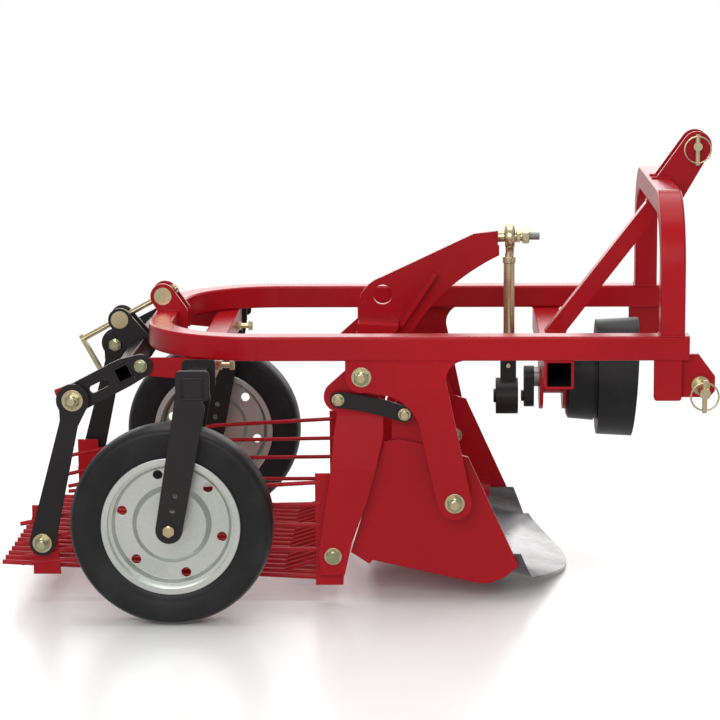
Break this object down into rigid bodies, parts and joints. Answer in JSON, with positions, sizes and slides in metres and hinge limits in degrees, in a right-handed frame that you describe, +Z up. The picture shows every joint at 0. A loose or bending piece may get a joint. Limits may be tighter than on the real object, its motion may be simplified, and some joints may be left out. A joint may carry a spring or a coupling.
{
  "type": "rear-mounted vibrating potato digger",
  "caption": "Rear-mounted single-row potato digger: hitch frame with two wheels, drive-shaft crank, rocker lever, shaken share, bar sieve and screw depth adjuster.",
  "frame": {"origin": "on the ground, under the middle of the overall length and width", "axes": "+X forwards towards the tractor, +Y to the machine's left, +Z up"},
  "size_m": [1.4983, 1.144, 0.953],
  "materials": {
    "red_paint": "gloss",
    "black_paint": "satin",
    "black_plastic": "matte",
    "yellow_zinc": "satin",
    "galvanised": "satin",
    "bare_steel": "satin",
    "tyre_rubber": "matte"
  },
  "bodies": {
    "frame": {"rail_right": "red_paint", "rail_left": "red_paint", "rear_bow": "red_paint", "headstock_arch": "red_paint", "top_link_plates": "red_paint", "top_link_pin": "yellow_zinc", "headstock_strut": "red_paint", "lower_brackets": "red_paint", "lower_link_pins": "yellow_zinc", "drive_cross_tube": "red_paint", "bearing_carrier": "red_paint", "pto_shield": "black_plastic", "hangers": "red_paint", "frame_bolts": "yellow_zinc", "receiver_tube": "red_paint", "receiver_screws": "yellow_zinc", "wheel_fork_right": "black_paint", "wheel_fork_left": "black_paint", "axle_bolts": "yellow_zinc", "arm_brackets": "red_paint", "adjusting_arms": "black_paint", "adjuster_tube": "black_paint", "adjuster_clevis": "black_paint", "bow_clevis": "red_paint", "trunnion_pins": "yellow_zinc", "adjuster_screw": "yellow_zinc", "screw_grip": "red_paint"},
    "wheel_right": {"tyre_right": "tyre_rubber", "wheel_disc_right": "galvanised"},
    "wheel_left": {"tyre_left": "tyre_rubber", "wheel_disc_left": "galvanised"},
    "drive": {"drive_shaft": "bare_steel", "crank": "black_paint"},
    "rocker": {"rocker_lever": "red_paint", "lever_stud": "yellow_zinc", "swing_arms": "red_paint", "swing_arm_bolts": "yellow_zinc"},
    "rod": {"connecting_rod": "yellow_zinc"},
    "big_end": {"big_end": "black_paint"},
    "share": {"share_sides": "red_paint", "share_pan": "red_paint", "share_blade": "bare_steel", "share_bolts": "yellow_zinc"},
    "drag_links": {"drag_links": "black_paint"},
    "sieve": {"sieve_floor": "red_paint", "sieve_front": "red_paint", "sieve_sides": "red_paint"},
    "rear_links": {"rear_links": "black_paint", "link_bolts": "yellow_zinc"}
  },
  "joints": [
    {"name": "shake", "type": "hinge", "parent": "frame", "child": "rocker", "pos_m": [0.008, 0, 0.484], "axis": [0, -1, 0], "range_deg": [0, 15.53]},
    {"name": "drive_spin", "type": "hinge", "parent": "frame", "child": "drive", "pos_m": [0.36, 0, 0.416], "axis": [1, 0, 0], "continuous": true},
    {"name": "wheel_right_spin", "type": "hinge", "parent": "frame", "child": "wheel_right", "pos_m": [-0.372, -0.49, 0.2055], "axis": [0, 1, 0], "continuous": true},
    {"name": "wheel_left_spin", "type": "hinge", "parent": "frame", "child": "wheel_left", "pos_m": [-0.372, 0.49, 0.2055], "axis": [0, 1, 0], "continuous": true},
    {"name": "share_tilt", "type": "hinge", "parent": "frame", "child": "share", "pos_m": [0.198, 0, 0.22], "axis": [0, -1, 0], "range_deg": [-5.83, 0]},
    {"name": "drag_link_swing", "type": "hinge", "parent": "rocker", "child": "drag_links", "pos_m": [-0.041, 0, 0.4325], "axis": [0, -1, 0], "range_deg": [-6.64, 0]},
    {"name": "sieve_swing", "type": "hinge", "parent": "rocker", "child": "sieve", "pos_m": [-0.054, 0, 0.103], "axis": [0, -1, 0], "range_deg": [-15.17, 0]},
    {"name": "rear_link_swing", "type": "hinge", "parent": "frame", "child": "rear_links", "pos_m": [-0.586, 0, 0.433], "axis": [0, -1, 0], "range_deg": [0, 19.56]},
    {"name": "rod_sway", "type": "hinge", "parent": "rocker", "child": "rod", "pos_m": [0.319, 0, 0.725], "axis": [1, 0, 0], "range_deg": [-6.8, 6.8]},
    {"name": "big_end_tilt", "type": "hinge", "parent": "rod", "child": "big_end", "pos_m": [0.316, 0, 0.443], "axis": [0, -1, 0], "range_deg": [-15.58, 0]}
  ],
  "couplings": [
    {"joint": "share_tilt", "follows": "shake", "ratio": -0.372},
    {"joint": "drag_link_swing", "follows": "shake", "ratio": -0.4246},
    {"joint": "sieve_swing", "follows": "shake", "ratio": -0.9733},
    {"joint": "rear_link_swing", "follows": "shake", "ratio": 1.2563},
    {"joint": "big_end_tilt", "follows": "shake", "ratio": -1}
  ]
}
